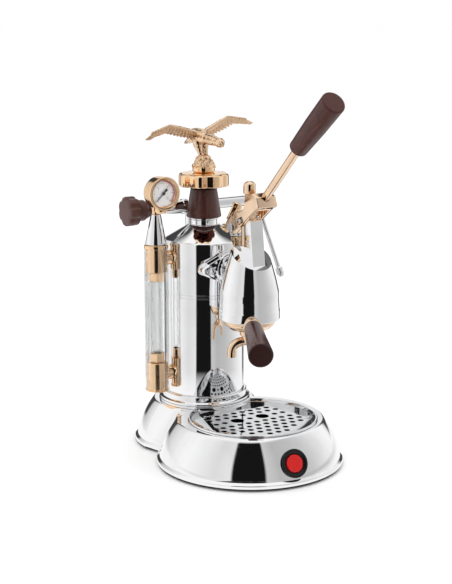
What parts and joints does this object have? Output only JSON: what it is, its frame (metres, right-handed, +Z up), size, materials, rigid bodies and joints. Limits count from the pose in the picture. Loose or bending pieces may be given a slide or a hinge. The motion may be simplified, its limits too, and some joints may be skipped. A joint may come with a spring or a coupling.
{
  "type": "lever espresso machine",
  "caption": "Upright lever espresso machine with a round boiler, sight glass, pressure gauge, steam wand, winged cap figure and lift-out drip tray.",
  "frame": {"origin": "middle of the overall box in plan, on the surface that the feet stand on", "axes": "+Z up; the drip tray and the lever face -Y; the pressure gauge is on the -X side and the steam wand on the +X side"},
  "size_m": [0.2008, 0.3226, 0.4048],
  "materials": {
    "chrome": "polished chrome",
    "rose_gold": "polished rose-gold plate",
    "steel": "satin stainless steel",
    "wood": "dark red-brown wood, satin varnish",
    "brown_knob": "dark brown moulded knob",
    "black_plastic": "black, satin",
    "rubber": "black rubber",
    "dial_white": "white printed dial",
    "glass": "clear",
    "red_lens": "red lit lens"
  },
  "bodies": {
    "machine": {"base_shell": "chrome", "base_pan": "rubber", "foot_front_left": "rubber", "foot_front_right": "rubber", "foot_rear_left": "rubber", "foot_rear_right": "rubber", "switch_bezel": "black_plastic", "cord_gland": "rubber", "boiler_shell": "chrome", "boiler_collar": "chrome", "heating_element": "steel", "sight_top_block": "rose_gold", "sight_bottom_block": "rose_gold", "sight_glass": "glass", "sight_top_nut": "rose_gold", "sight_bottom_nut": "rose_gold", "sight_sleeve": "glass", "gauge_cone": "chrome", "gauge_case": "rose_gold", "gauge_dial": "dial_white", "gauge_glass": "glass", "tap_body": "chrome", "wand_nut": "chrome", "safety_valve_body": "rose_gold", "safety_valve_cap": "rose_gold", "group_bell": "chrome", "flange_nut_left": "chrome", "flange_nut_right": "chrome", "group_gasket": "rubber", "shower_screen": "steel", "fulcrum_pin": "steel"},
    "tray": {"drip_tray": "chrome"},
    "grille": {"drip_grille": "steel"},
    "switch": {"switch_button": "red_lens"},
    "boiler_cap": {"cap_plug": "rose_gold", "cap_cone": "wood", "cap_cover": "rose_gold", "cap_boss": "rose_gold", "cap_eagle": "rose_gold"},
    "needle": {"gauge_needle": "black_plastic"},
    "tap": {"tap_spindle": "steel", "tap_knob": "brown_knob"},
    "wand": {"steam_wand": "chrome", "wand_tip": "chrome"},
    "lever": {"lever_fork": "rose_gold", "lever_rod": "rose_gold", "lever_handle": "wood"},
    "piston": {"piston_rod": "rose_gold", "piston_pin": "steel", "piston": "steel", "piston_seal": "rubber"},
    "portafilter": {"portafilter_body": "chrome", "portafilter_ferrule": "rose_gold", "portafilter_handle": "wood", "filter_basket": "steel", "double_spout": "chrome"}
  },
  "joints": [
    {"name": "tray_lift", "type": "slide", "parent": "machine", "child": "tray", "axis": [0, 0, 1], "range_m": [0, 0.035]},
    {"name": "grille_lift", "type": "slide", "parent": "tray", "child": "grille", "axis": [0, 0, 1], "range_m": [0, 0.025]},
    {"name": "switch_rock", "type": "hinge", "parent": "machine", "child": "switch", "pos_m": [-0.0062, -0.10397, 0.025], "axis": [0.9978, -0.0666, 0], "range_deg": [-5, 5]},
    {"name": "cap_unscrew", "type": "hinge", "parent": "machine", "child": "boiler_cap", "pos_m": [0, 0.08293, 0.25], "axis": [0, 0, 1], "range_deg": [0, 720]},
    {"name": "gauge_reading", "type": "hinge", "parent": "machine", "child": "needle", "pos_m": [-0.0605, 0.06143, 0.2865], "axis": [0, 1, 0], "range_deg": [0, 270]},
    {"name": "tap_turn", "type": "hinge", "parent": "machine", "child": "tap", "pos_m": [-0.05, 0.11093, 0.2625], "axis": [-1, 0, 0], "range_deg": [0, 540]},
    {"name": "wand_swivel", "type": "hinge", "parent": "machine", "child": "wand", "pos_m": [0.0869, 0.11093, 0.2625], "axis": [1, 0, 0], "range_deg": [-40, 30]},
    {"name": "lever_hinge", "type": "hinge", "parent": "machine", "child": "lever", "pos_m": [0, 0.00893, 0.254], "axis": [-1, 0, 0], "range_deg": [-67, 10]},
    {"name": "piston_slide", "type": "slide", "parent": "machine", "child": "piston", "axis": [0, 0, 1], "range_m": [-0.0236, 0.0037]},
    {"name": "portafilter_twist", "type": "hinge", "parent": "machine", "child": "portafilter", "pos_m": [0, -0.00907, 0.15], "axis": [0, 0, 1], "range_deg": [-45, 27]}
  ],
  "couplings": [
    {"joint": "piston_slide", "follows": "lever_hinge", "m_per_rad": 0.02}
  ]
}
